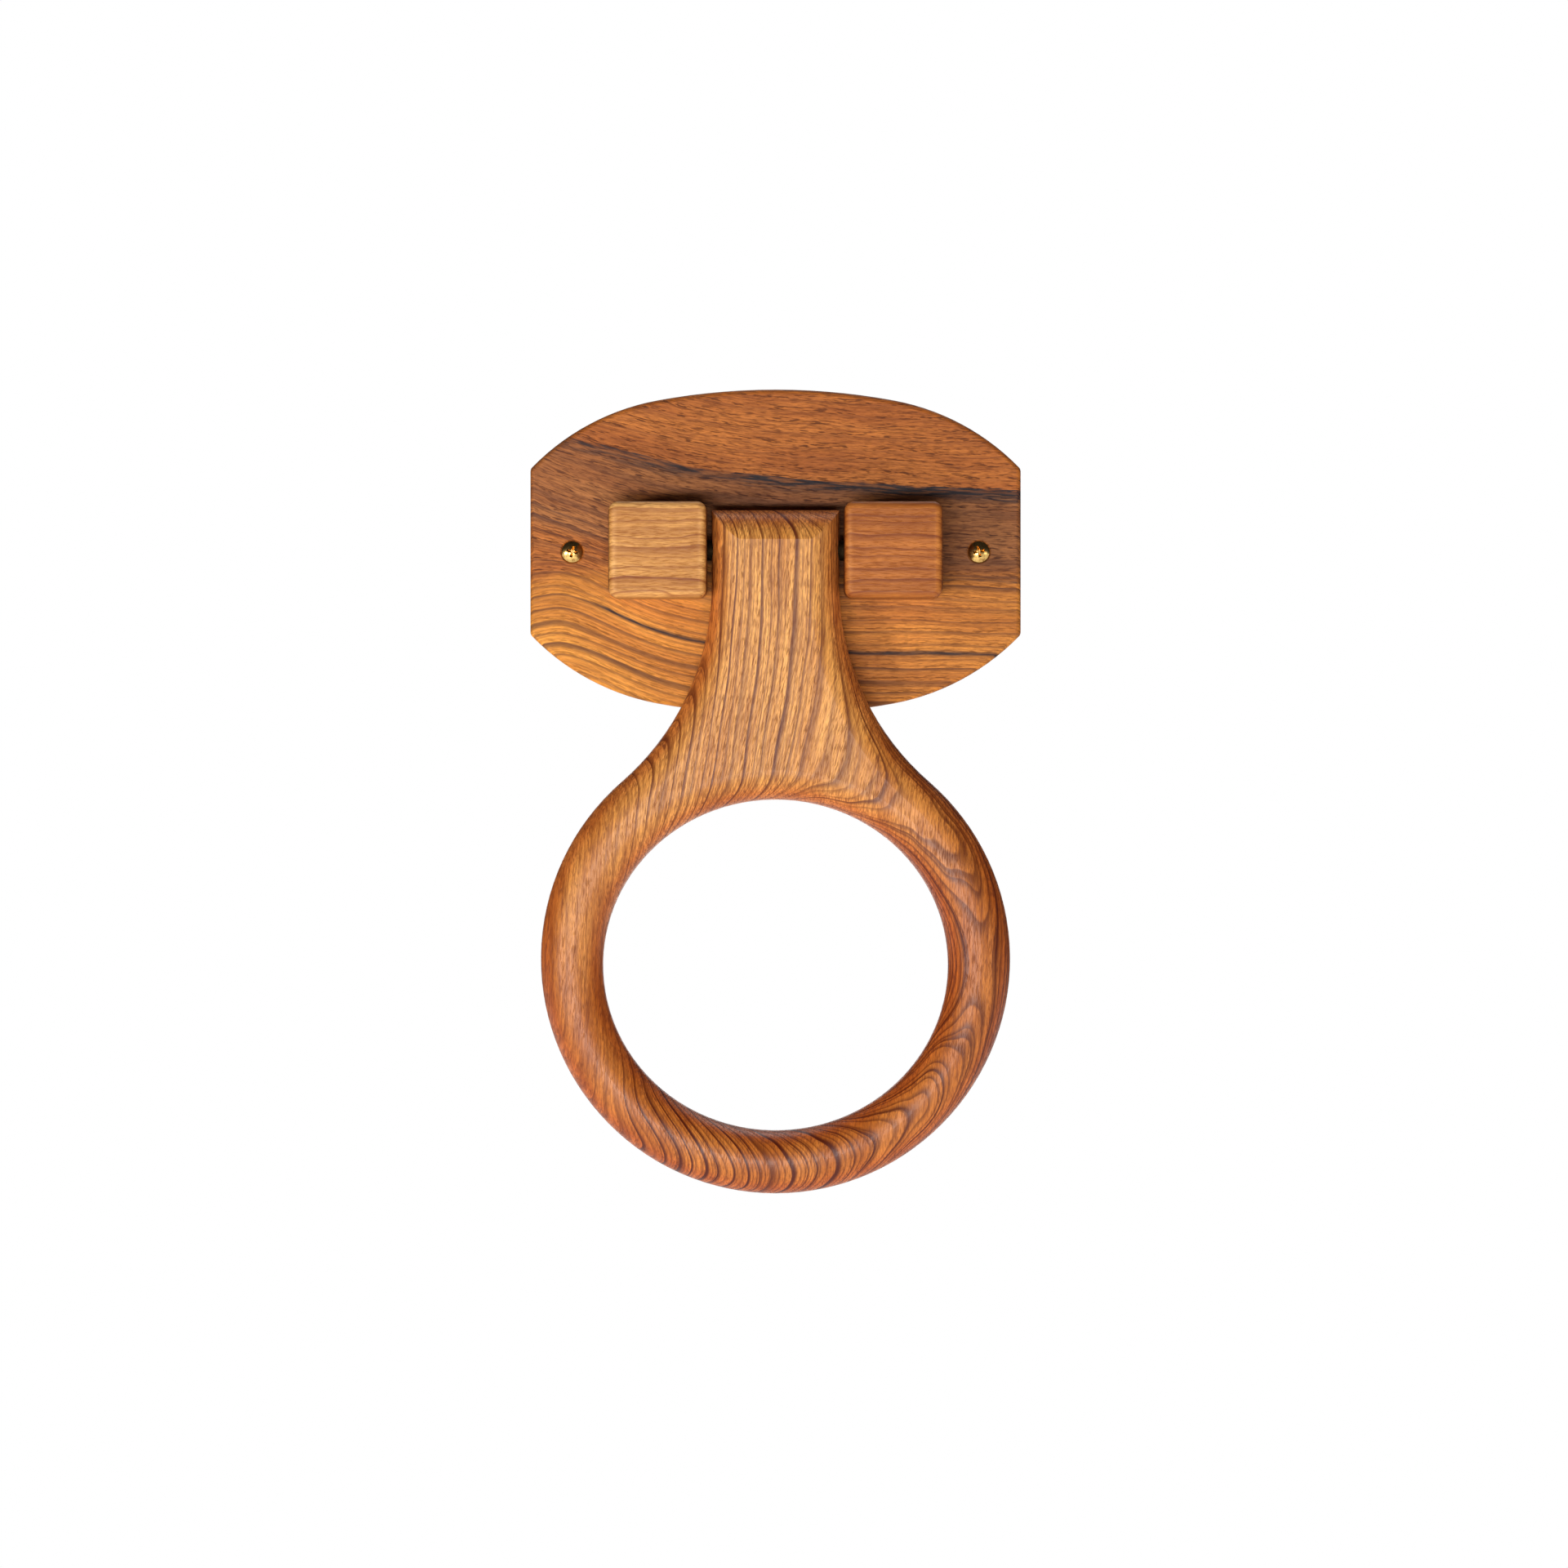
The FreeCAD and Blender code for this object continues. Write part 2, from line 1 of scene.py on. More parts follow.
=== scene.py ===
"""Looks for the hinged teak grab ring: oiled teak, brass wood screws, and a plain pale studio."""
import math
from collections import namedtuple

import bpy
from mathutils import Matrix, Vector


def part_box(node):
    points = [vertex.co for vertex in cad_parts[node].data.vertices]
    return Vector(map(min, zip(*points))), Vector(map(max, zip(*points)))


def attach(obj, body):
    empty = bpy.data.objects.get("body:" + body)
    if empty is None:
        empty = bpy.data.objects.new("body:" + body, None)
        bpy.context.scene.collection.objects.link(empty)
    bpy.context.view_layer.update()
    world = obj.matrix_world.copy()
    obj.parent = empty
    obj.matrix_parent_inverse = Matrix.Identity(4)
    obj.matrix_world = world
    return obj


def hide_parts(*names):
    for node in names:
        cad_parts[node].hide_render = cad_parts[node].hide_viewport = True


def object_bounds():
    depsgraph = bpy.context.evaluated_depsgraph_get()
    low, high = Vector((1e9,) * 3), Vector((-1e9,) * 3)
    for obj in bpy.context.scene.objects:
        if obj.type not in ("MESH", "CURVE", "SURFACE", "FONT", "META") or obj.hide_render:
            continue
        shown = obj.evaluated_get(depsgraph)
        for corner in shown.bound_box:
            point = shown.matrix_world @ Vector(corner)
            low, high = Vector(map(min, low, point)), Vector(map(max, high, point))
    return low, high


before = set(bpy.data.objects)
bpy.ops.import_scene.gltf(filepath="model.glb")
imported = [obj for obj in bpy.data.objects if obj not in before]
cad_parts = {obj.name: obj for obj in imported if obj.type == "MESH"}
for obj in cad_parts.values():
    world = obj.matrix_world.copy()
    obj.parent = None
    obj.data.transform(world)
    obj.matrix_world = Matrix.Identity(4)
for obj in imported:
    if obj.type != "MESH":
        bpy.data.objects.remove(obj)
cad_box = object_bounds()
MM = 0.001


# ---- shader nodes ----

class Graph:
    """Short calls for the shader nodes of one material. Values may be numbers or sockets."""

    def __init__(self, name):
        self.material = bpy.data.materials.new(name)
        self.material.use_nodes = True
        self.nodes = self.material.node_tree.nodes
        self.links = self.material.node_tree.links
        self.nodes.clear()

    def put(self, value, socket):
        """Links a socket to an input, or sets the input to a number or colour."""
        if isinstance(value, bpy.types.NodeSocket):
            self.links.new(value, socket)
        else:
            socket.default_value = value

    def math(self, operation, *values):
        node = self.nodes.new("ShaderNodeMath")
        node.operation = operation
        for value, socket in zip(values, node.inputs):
            self.put(value, socket)
        return node.outputs[0]

    def add(self, *values):
        total = values[0]
        for value in values[1:]:
            total = self.math("ADD", total, value)
        return total

    def times(self, *values):
        product = values[0]
        for value in values[1:]:
            product = self.math("MULTIPLY", product, value)
        return product

    def minus(self, a, b):
        return self.math("SUBTRACT", a, b)

    def step(self, value, low, high, top=1.0):
        """Rises smoothly from 0 to top while value goes from low to high."""
        node = self.nodes.new("ShaderNodeMapRange")
        node.interpolation_type = "SMOOTHSTEP"
        self.put(value, node.inputs["Value"])
        self.put(low, node.inputs["From Min"])
        self.put(high, node.inputs["From Max"])
        self.put(top, node.inputs["To Max"])
        return node.outputs[0]

    def bell(self, value, middle, half_width):
        """1 where value is at the middle, falling to 0 at half_width away."""
        away = self.math("ABSOLUTE", self.minus(value, middle))
        return self.minus(1.0, self.step(away, 0.0, half_width))

    def vector(self, x, y, z):
        node = self.nodes.new("ShaderNodeCombineXYZ")
        for value, socket in zip((x, y, z), node.inputs):
            self.put(value, socket)
        return node.outputs[0]

    def noise(self, axes, scales, seed, detail=2.0, roughness=0.5):
        """Noise about 0, mostly between -0.25 and 0.25. axes are in mm, scales in cells per mm."""
        node = self.nodes.new("ShaderNodeTexNoise")
        node.noise_dimensions = "4D"
        scaled = [self.times(axis, scale) for axis, scale in zip(axes, scales)]
        self.put(self.vector(*scaled), node.inputs["Vector"])
        node.inputs["W"].default_value = seed
        node.inputs["Scale"].default_value = 1.0
        node.inputs["Detail"].default_value = detail
        node.inputs["Roughness"].default_value = roughness
        return self.minus(node.outputs[0], 0.5)

    def chance(self, value, seed):
        """A number from 0 to 1 that is the same wherever value is the same."""
        node = self.nodes.new("ShaderNodeTexWhiteNoise")
        node.noise_dimensions = "2D"
        self.put(self.vector(value, seed, 0.0), node.inputs["Vector"])
        return node.outputs["Value"]

    def mix(self, factor, a, b, blend="MIX"):
        node = self.nodes.new("ShaderNodeMix")
        node.data_type = "RGBA"
        node.blend_type = blend
        self.put(factor, node.inputs[0])
        self.put(a if isinstance(a, bpy.types.NodeSocket) else (*a, 1.0), node.inputs[6])
        self.put(b if isinstance(b, bpy.types.NodeSocket) else (*b, 1.0), node.inputs[7])
        return node.outputs[2]

    def tint(self, factor, color, by):
        """Multiplies a colour by another, more fully as factor goes to 1."""
        return self.mix(factor, color, by, "MULTIPLY")

    def position(self):
        """The piece's own x, y and z in millimetres."""
        coordinates = self.nodes.new("ShaderNodeTexCoord")
        split = self.nodes.new("ShaderNodeSeparateXYZ")
        self.links.new(coordinates.outputs["Object"], split.inputs[0])
        return [self.times(output, 1 / MM) for output in split.outputs]

    def surface(self, color, roughness, height, depth_mm, **others):
        """Ends the material with a principled shader and bump. Its other inputs are given by name."""
        shader = self.nodes.new("ShaderNodeBsdfPrincipled")
        output = self.nodes.new("ShaderNodeOutputMaterial")
        bump = self.nodes.new("ShaderNodeBump")
        bump.inputs["Strength"].default_value = 1.0
        bump.inputs["Distance"].default_value = depth_mm * MM
        self.put(height, bump.inputs["Height"])
        self.links.new(bump.outputs[0], shader.inputs["Normal"])
        self.put(color, shader.inputs["Base Color"])
        self.put(roughness, shader.inputs["Roughness"])
        for name, value in others.items():
            self.put(value, shader.inputs[name])
        self.links.new(shader.outputs[0], output.inputs[0])
        return self.material


# ---- teak ----

# One piece of teak. The colours are linear. period is mm between growth lines, and sharp makes
# them thinner; fine (the finer lines between them), fibres and pores are how strongly they show;
# gloss lowers the roughness, and shine is the specular level.
Teak = namedtuple("Teak", "light middle dark line period sharp fine fibres pores gloss shine seed")

# Within each line's share of the wood, from 0 to 1, it starts to darken at RISE and is darkest at
# PEAK. UNEVEN is how far the spacing of the lines wanders. GRAIN_DEPTH is the bump's depth in mm.
BOLD_RISE, BOLD_PEAK, BOLD_UNEVEN = 0.4, 0.96, 1.7
FINE_RISE, FINE_PEAK, FINE_UNEVEN = 0.2, 0.9, 4.6
FINE_PER_BOLD, FINE_START, FINE_SHARP = 2.7, 0.45, 2.2
EARLY_WOOD_END = 0.6
BASE_ROUGHNESS = 0.62
GRAIN_DEPTH = 0.05


def line_shape(graph, part, rise, peak, sharp):
    """A line that darkens while part goes from rise to peak, and fades by 1."""
    return graph.times(graph.math("POWER", graph.step(part, rise, peak), sharp),
                       graph.minus(1.0, graph.step(part, peak, 1.0)))


def growth_lines(graph, layer, along, wood):
    """How strongly the bold lines, the fine lines and the early wood show, each from 0 to 1."""
    jitter = graph.noise((layer, 0.0, 0.0), (0.2, 1.0, 1.0), wood.seed, 1.0)
    count = graph.add(graph.times(layer, 1 / wood.period), graph.times(jitter, BOLD_UNEVEN))
    number = graph.math("FLOOR", count)
    part = graph.minus(count, number)
    strength = graph.chance(number, wood.seed)
    fading = graph.step(graph.noise((layer, 0.0, along), (0.5, 1.0, 0.03), wood.seed + 1), -0.2, 0.2)
    bold = graph.times(line_shape(graph, part, BOLD_RISE, BOLD_PEAK, wood.sharp),
                       graph.add(0.6, graph.times(strength, 0.4)),
                       graph.add(0.65, graph.times(fading, 0.35)))

    fine_count = graph.add(graph.times(layer, FINE_PER_BOLD / wood.period),
                           graph.times(jitter, FINE_UNEVEN), FINE_START)
    fine_part = graph.minus(fine_count, graph.math("FLOOR", fine_count))
    fine = line_shape(graph, fine_part, FINE_RISE, FINE_PEAK, FINE_SHARP)
    early = graph.minus(1.0, graph.step(part, 0.0, EARLY_WOOD_END))
    return bold, fine, early


def teak(graph, axes, layer, wood, line_share=1.0):
    """Colour, roughness and height of oiled teak.

    axes are across, deep and along, in mm, with the fibres running along. layer counts mm through
    the growth layers. line_share scales the growth lines from place to place.
    """
    bold, fine, early = growth_lines(graph, layer, axes[2], wood)
    haze = graph.noise(axes, (0.12, 0.12, 0.02), wood.seed + 2)
    fibre = graph.noise(axes, (1.4, 0.5, 0.08), wood.seed + 3, 4.0, 0.65)
    pore_noise = graph.noise(axes, (2.6, 1.2, 0.34), wood.seed + 4, 1.0)
    grit = graph.noise(axes, (3.0, 1.5, 0.4), wood.seed + 6)
    pores = graph.times(graph.step(pore_noise, 0.0, 0.14), graph.add(0.5, graph.times(early, 0.5)))

    color = graph.mix(graph.step(haze, -0.15, 0.15), wood.light, wood.middle)
    color = graph.mix(graph.step(fibre, -0.1, 0.22, wood.fibres), color, wood.dark)
    color = graph.mix(graph.times(graph.step(grit, -0.1, 0.2, 0.55), wood.fibres), color, wood.dark)
    color = graph.mix(graph.times(fine, line_share, wood.fine), color, wood.line)
    color = graph.mix(graph.times(bold, line_share), color, wood.line)
    color = graph.mix(graph.times(pores, wood.pores), color, wood.line)
    height = graph.minus(graph.add(graph.times(fibre, 0.5), graph.times(grit, 0.3)),
                         graph.add(graph.times(bold, 0.3), pores))
    roughness = graph.add(BASE_ROUGHNESS - wood.gloss, graph.times(fibre, 0.2), graph.times(pores, 0.2))
    return color, roughness, height


def finish_teak(graph, wood, color, roughness, height):
    """Ends a material of teak, with the shine of its wood."""
    return graph.surface(color, roughness, height, GRAIN_DEPTH, **{"Specular IOR Level": wood.shine})


# ---- the handle's teak ----

HANDLE = Teak(light=(0.94, 0.43, 0.100), middle=(0.71, 0.28, 0.053), dark=(0.26, 0.064, 0.009),
              line=(0.12, 0.022, 0.005), period=3.0, sharp=3.4, fine=0.35, fibres=0.75, pores=0.6,
              gloss=0.24, shine=0.34, seed=11.0)
# Painted shade: a tint that darkens the handle's rounded edges.
ROUNDED_SHADE_TINT = (0.96, 0.72, 0.66)
HEARTWOOD_TINT = (0.72, 0.51, 0.36)

# Where each change in the wood starts and is complete, in mm. Heights are 0 at the pin and about
# -197 at the ring's bottom, and widths are 0 in the middle.
NECK_Z, SHOULDER_Z, SWEEP_Z = (-85.0, -20.0), (-150.0, -75.0), (-195.0, -163.0)
RING_Z, BOTTOM_Z = (-160.0, -50.0), (-180.0, -145.0)
SHOULDER_X, SWEEP_X = (-45.0, 15.0), (10.0, 50.0)
LEFT_FAINT_X, LEFT_SOFT_X = (-60.0, -25.0), (-55.0, -30.0)
RIGHT_THIN_X, RIGHT_DENSE_X, HEARTWOOD_X = (25.0, 50.0), (22.0, 45.0), (15.0, 50.0)
# Distances in mm from the handle's middle plane over which the painted shade on the rounded edges fades
# out.
ROUNDED_SHADE_Y = (6.0, 9.3)

# How far the layers move sideways in the neck, on the shoulder and above the ring's bottom, and how
# far the fibres lean for each mm of height above LEAN_FROM_Z.
NECK_SHIFT, SHOULDER_SHIFT, SWEEP_SHIFT = 7.0, 20.0, 13.0
FIBRE_LEAN, LEAN_FROM_Z = 0.055, -100.0

# The pith, about which the layers curve. It is PITH_BEND further back away from PITH_MIDDLE_Z.
PITH_X, PITH_Y = 66.0, 22.0
PITH_MIDDLE_Z, PITH_BEND, PITH_BEND_SPAN = -121.0, 4.0, (3.0, 60.0)
HANDLE_WARP, HANDLE_LAYER_START = 8.0, 1.6


def handle_across(graph, x, z):
    """Millimetres across the fibres, which lean to the right as they rise, and most in the neck."""
    lean = graph.times(graph.minus(z, LEAN_FROM_Z), FIBRE_LEAN)
    return graph.minus(graph.minus(x, lean), graph.step(z, *NECK_Z, NECK_SHIFT))


def handle_layer(graph, across, x, y, z):
    """Millimetres through the layers, which curve round a pith behind the ring's right side."""
    warp = graph.noise((x, y, z), (0.035, 0.035, 0.011), 3.0)
    from_middle = graph.math("ABSOLUTE", graph.minus(z, PITH_MIDDLE_Z))
    pith_y = graph.add(PITH_Y, graph.step(from_middle, *PITH_BEND_SPAN, PITH_BEND))
    shoulder = graph.times(graph.step(z, *SHOULDER_Z, SHOULDER_SHIFT), graph.step(x, *SHOULDER_X))
    sweep = graph.times(graph.step(z, *SWEEP_Z, SWEEP_SHIFT),
                        graph.minus(1.0, graph.step(x, *SWEEP_X)))
    side = graph.minus(graph.add(across, shoulder, sweep), PITH_X)
    back = graph.minus(y, pith_y)
    radius = graph.math("SQRT", graph.add(graph.times(side, side), graph.times(back, back)))
    return graph.add(radius, graph.times(warp, HANDLE_WARP), HANDLE_LAYER_START)


def handle_wood(graph, x, ring, bottom):
    """The handle's wood from place to place, and the share of its growth lines that shows.

    The lines are faint and soft at the left, thin and close at the right, and plainest at the
    bottom, where the fibres between them show least.
    """
    line_share = graph.add(0.35, graph.step(x, *LEFT_FAINT_X, 0.9), graph.times(bottom, 0.5))
    sharp = graph.add(HANDLE.sharp - 2.2, graph.step(x, *LEFT_SOFT_X, 2.2),
                      graph.step(x, *RIGHT_THIN_X, 1.5))
    dense = graph.times(graph.step(x, *RIGHT_DENSE_X, 0.2), graph.minus(1.0, bottom))
    wood = HANDLE._replace(sharp=sharp, fine=graph.add(HANDLE.fine, dense),
                           fibres=graph.minus(HANDLE.fibres, graph.times(bottom, 0.25)),
                           pores=graph.minus(HANDLE.pores, graph.times(ring, 0.15)))
    return wood, line_share


def handle_teak():
    """Upright grain, darker towards the bottom and the right, with painted shade on the rounded edges."""
    graph = Graph("handle_teak")
    x, y, z = graph.position()
    ring = graph.minus(1.0, graph.step(z, *RING_Z))
    bottom = graph.minus(1.0, graph.step(z, *BOTTOM_Z))
    across = handle_across(graph, x, z)
    layer = handle_layer(graph, across, x, y, z)
    wood, line_share = handle_wood(graph, x, ring, bottom)
    color, roughness, height = teak(graph, (across, y, z), layer, wood, line_share)
    heartwood = graph.math("MINIMUM", graph.add(ring, graph.step(x, *HEARTWOOD_X, 0.55)), 1.0)
    color = graph.tint(heartwood, color, HEARTWOOD_TINT)
    low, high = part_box("ring_handle")
    # Painted shade on the rounded edges: full within 6 mm of the handle's middle plane, none at its front
    # and back faces.
    from_core = graph.math("ABSOLUTE", graph.minus(y, (low[1] + high[1]) / 2 / MM))
    color = graph.tint(graph.minus(1.0, graph.step(from_core, *ROUNDED_SHADE_Y)), color, ROUNDED_SHADE_TINT)
    return finish_teak(graph, HANDLE, color, roughness, height)


# ---- the blocks' teak ----

BLOCKS = {
    "left": Teak(light=(0.77, 0.365, 0.092), middle=(0.59, 0.25, 0.054), dark=(0.31, 0.098, 0.015),
                 line=(0.20, 0.042, 0.007), period=4.4, sharp=2.4, fine=0.3, fibres=0.6, pores=0.4,
                 gloss=0.2, shine=0.24, seed=31.0),
    "right": Teak(light=(0.55, 0.173, 0.028), middle=(0.385, 0.112, 0.015), dark=(0.25, 0.055, 0.005),
                  line=(0.16, 0.030, 0.006), period=3.4, sharp=1.2, fine=0.3, fibres=0.6, pores=0.4,
                  gloss=0.2, shine=0.2, seed=57.0),
}
# Painted highlight: a pale band this far inside the block's edges, in mm, with its half width.
EDGE_HIGHLIGHT_TINT, EDGE_HIGHLIGHT_INSET, EDGE_HIGHLIGHT_HALF_WIDTH = (1.3, 1.5, 2.0), 1.6, 1.5
END_GRAIN_TINT, END_GRAIN_INSET = (0.45, 0.36, 0.30), (0.5, 0.1)
BLOCK_TILT, BLOCK_WARP, BLOCK_LAYER_START = 0.5, 5.0, 300.0


def block_teak(side):
    """Level grain with growth layers that tilt back, a painted highlight along the edges, and end grain
    dark with oil.
    """
    wood = BLOCKS[side]
    graph = Graph(side + "_block_teak")
    x, y, z = graph.position()
    warp = graph.noise((z, y, x), (0.09, 0.09, 0.05), wood.seed + 5)
    layer = graph.add(z, graph.times(y, BLOCK_TILT), graph.times(warp, BLOCK_WARP), BLOCK_LAYER_START)
    color, roughness, height = teak(graph, (z, y, x), layer, wood)
    low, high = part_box(side + "_pivot_block")
    half = (high[0] - low[0]) / 2 / MM
    from_middle = graph.math("ABSOLUTE", graph.minus(x, (high[0] + low[0]) / 2 / MM))
    outward = graph.math("MAXIMUM", from_middle, graph.math("ABSOLUTE", z))
    # A pale band painted along the rounded edges as a highlight.
    edge_highlight = graph.times(graph.bell(outward, half - EDGE_HIGHLIGHT_INSET, EDGE_HIGHLIGHT_HALF_WIDTH), 0.8)
    end_grain = graph.step(from_middle, *(half - inset for inset in END_GRAIN_INSET))
    color = graph.tint(end_grain, graph.tint(edge_highlight, color, EDGE_HIGHLIGHT_TINT), END_GRAIN_TINT)
    return finish_teak(graph, wood, color, roughness, height)


# ---- the plate's teak ----

PLATE = Teak(light=(0.63, 0.195, 0.031), middle=(0.47, 0.129, 0.019), dark=(0.20, 0.046, 0.007),
             line=(0.075, 0.020, 0.009), period=3.6, sharp=2.5, fine=0.3, fibres=0.85, pores=0.85,
             gloss=0.08, shine=0.22, seed=23.0)
GOLDEN_TINT = (1.5, 1.9, 1.7)
GREY_TINT = (0.85, 1.0, 1.6)
BROWN_TINT = (0.62, 0.72, 1.2)
STREAK = (0.022, 0.014, 0.016)

# The even fall of the upper layers from the plate's left end, and the wave of the lower ones. Places
# and falls are in mm.
EVEN_FROM_X, EVEN_FALL, EVEN_LENGTH = -78.0, 24.8, 50.0
WAVE_FROM_X, WAVE_FALL, WAVE_LENGTH, WAVE_POWER = -74.0, 19.5, 33.5, 2.6
WAVE_DIP, WAVE_DIP_X = 2.5, (-80.0, -64.0)
UPPER_Z = (-14.0, 16.0)
PLATE_TILT, PLATE_DEPTH, PLATE_WARP, PLATE_LAYER_START = 0.6, 12.0, 4.0, 400.0

# Levels of the plate's bands, and of its dark veins with half their width, in mm. A pair of levels
# or of X places is where a change starts and is complete.
GOLDEN_TOP, BAND_TOP = (-10.0, -5.0), (15.0, 18.0)
STREAK_TOP, STREAK_FULL, STREAK_BOTTOM = (17.3, 18.0), 16.6, 11.0
LOW_VEIN, THIN_VEIN = (-32.0, 1.1), (-9.4, 0.7)
LOW_VEIN_X, THIN_VEIN_X = (-62.0, -50.0), (25.0, 45.0)
STREAK_DARKER_X, STREAK_THINNER_X = (-70.0, 60.0), (-60.0, -10.0)
GREY_TO_BROWN_X, LEFT_END_X, GOLDEN_FADE_X = (-55.0, 15.0), (-75.0, -15.0), (-20.0, 30.0)
LINES_FADE = (-14.0, 2.0)


def plate_level(graph, x, y, z):
    """The height that a point's growth layer has at the plate's right end, in mm.

    The layers fall away from the left end, evenly above the screws, and below them in a wave with
    its crest near the left end.
    """
    even_travel = graph.math("MAXIMUM", graph.minus(x, EVEN_FROM_X), 0.0)
    even = graph.times(graph.math("EXPONENT", graph.times(even_travel, -1 / EVEN_LENGTH)), EVEN_FALL)
    wave_travel = graph.math("MAXIMUM", graph.minus(x, WAVE_FROM_X), 0.0)
    wave_share = graph.math("POWER", graph.times(wave_travel, 1 / WAVE_LENGTH), WAVE_POWER)
    dip = graph.minus(WAVE_DIP, graph.step(x, *WAVE_DIP_X, WAVE_DIP))
    wave = graph.minus(graph.math("DIVIDE", WAVE_FALL, graph.add(wave_share, 1.0)), dip)
    upper = graph.step(z, *UPPER_Z)
    fall = graph.add(graph.times(upper, even), graph.times(graph.minus(1.0, upper), wave))
    warp = graph.noise((z, y, x), (0.05, 0.05, 0.02), 7.0)
    tilt = graph.times(graph.add(y, PLATE_DEPTH), PLATE_TILT)
    return graph.add(graph.minus(z, fall), graph.times(warp, PLATE_WARP), tilt)


def plate_zones(graph, color, x, torn_level, from_left, golden):
    """Tints the lowest layers golden, and the band above them grey at the left and brown at the right."""
    low_edge = graph.add(torn_level, graph.times(from_left, 6.0))
    band = graph.times(graph.step(low_edge, *GOLDEN_TOP),
                       graph.minus(1.0, graph.step(torn_level, *BAND_TOP)))
    band_tint = graph.mix(graph.step(x, *GREY_TO_BROWN_X), GREY_TINT, BROWN_TINT)
    return graph.tint(band, graph.tint(golden, color, GOLDEN_TINT), band_tint)


def plate_streaks(graph, color, x, y, level, ragged, torn_level):
    """Adds the broad dark streak above the blocks, and the dark veins below them."""
    dashes = graph.step(graph.noise((level, y, x), (1.4, 1.4, 0.12), 42.0, 2.0), -0.12, 0.12)
    to_right = graph.step(x, *STREAK_DARKER_X)
    bottom = graph.add(STREAK_BOTTOM, graph.step(x, *STREAK_THINNER_X, 3.0), graph.times(to_right, -2.0))
    core = graph.times(graph.step(torn_level, bottom, STREAK_FULL),
                       graph.minus(1.0, graph.step(torn_level, *STREAK_TOP)))
    opacity = graph.add(0.2, graph.times(to_right, 0.4), graph.times(dashes, 0.7))
    color = graph.mix(graph.times(core, opacity), color, STREAK)

    wavy_level = graph.add(level, graph.times(ragged, 1.2))
    thin_out = graph.step(graph.noise((x, 0.0, 0.0), (0.07, 1.0, 1.0), 43.0), -0.3, 0.0)
    low_vein = graph.times(graph.bell(wavy_level, *LOW_VEIN), graph.step(x, *LOW_VEIN_X),
                           graph.add(0.45, graph.times(thin_out, 0.3), graph.times(dashes, 0.25)))
    color = graph.mix(low_vein, color, STREAK)
    thin_vein = graph.times(graph.bell(wavy_level, *THIN_VEIN), graph.step(x, *THIN_VEIN_X),
                            graph.add(0.4, graph.times(dashes, 0.5)))
    return graph.mix(thin_vein, color, STREAK)


def plate_teak():
    """Level grain that sweeps down from left to right, with a dark streak over a brown band."""
    graph = Graph("plate_teak")
    x, y, z = graph.position()
    level = plate_level(graph, x, y, z)
    ragged = graph.noise((level, y, x), (0.8, 0.8, 0.07), 41.0, 3.0, 0.7)
    torn_level = graph.add(level, graph.times(ragged, 6.0))
    from_left = graph.minus(1.0, graph.step(x, *LEFT_END_X))
    golden_edge = graph.add(torn_level, graph.times(from_left, 20.0))
    golden = graph.times(graph.minus(1.0, graph.step(golden_edge, *GOLDEN_TOP)),
                         graph.minus(1.0, graph.step(x, *GOLDEN_FADE_X, 0.4)))
    wood = PLATE._replace(fibres=graph.minus(PLATE.fibres, graph.times(golden, 0.35)),
                          pores=graph.minus(PLATE.pores, graph.times(golden, 0.4)))
    line_share = graph.minus(1.0, graph.step(level, *LINES_FADE, 0.7))
    layer = graph.add(level, PLATE_LAYER_START)
    color, roughness, height = teak(graph, (level, y, x), layer, wood, line_share)
    color = plate_zones(graph, color, x, torn_level, from_left, golden)
    color = plate_streaks(graph, color, x, y, level, ragged, torn_level)
    return finish_teak(graph, PLATE, color, roughness, height)


# ---- brass ----

BRIGHT_BRASS = ((0.72, 0.46, 0.15), (0.34, 0.17, 0.045), 0.2)
# The pin's brass is painted nearly black: painted shade for the gaps beside the neck.
SHADE_BLACK_BRASS = ((0.030, 0.019, 0.009), (0.015, 0.010, 0.005), 0.7)
SCRATCH_DEPTH = 0.01


def brass(name, main_color, tarnish_and_shade_color, base_roughness):
    """Drawn or turned brass, from its main colour to a darker one in patches: tarnish on the screws, and
    on the pin painted shade that makes it nearly black.
    """
    graph = Graph(name)
    place = graph.position()
    tarnish_and_shade = graph.noise(place, (1.0, 1.0, 1.0), 5.0, 3.0, 0.6)
    scratch = graph.noise(place, (9.0, 1.2, 9.0), 6.0)
    color = graph.mix(graph.step(tarnish_and_shade, -0.1, 0.25), main_color, tarnish_and_shade_color)
    roughness = graph.add(base_roughness, graph.times(tarnish_and_shade, 0.3), graph.times(scratch, 0.15))
    height = graph.add(graph.times(scratch, 0.4), graph.times(tarnish_and_shade, 0.2))
    return graph.surface(color, roughness, height, SCRATCH_DEPTH, Metallic=1.0)


# ---- screws ----

# Sizes are in mm, and lengths are measured from the head's rim. THREAD_FLANK sets the slope of the
# thread's sides, and DOME_SHARES are the rings of the domed head as shares of its radius.
HEAD_RADIUS, HEAD_RIM, HEAD_DOME = 3.4, 0.15, 0.95
SHANK_RADIUS, ROOT_RADIUS, CREST_RADIUS = 1.35, 1.15, 1.75
THREAD_START, THREAD_PITCH, THREAD_FLANK = 11.6, 1.41, 0.82
SCREW_LENGTH, POINT_LENGTH, POINT_RADIUS = 31.75, 3.4, 0.12
CONE_HALF_ANGLE = 41.0
CONE_LENGTH = (HEAD_RADIUS - SHANK_RADIUS) / math.tan(math.radians(CONE_HALF_ANGLE))
AROUND, STEPS_PER_TURN = 40, 12
DOME_SHARES = (0.04, 0.2, 0.36, 0.52, 0.68, 0.82, 0.93)
SHARP_ANGLE = 35
TURN_BETWEEN_SCREWS = 0.9


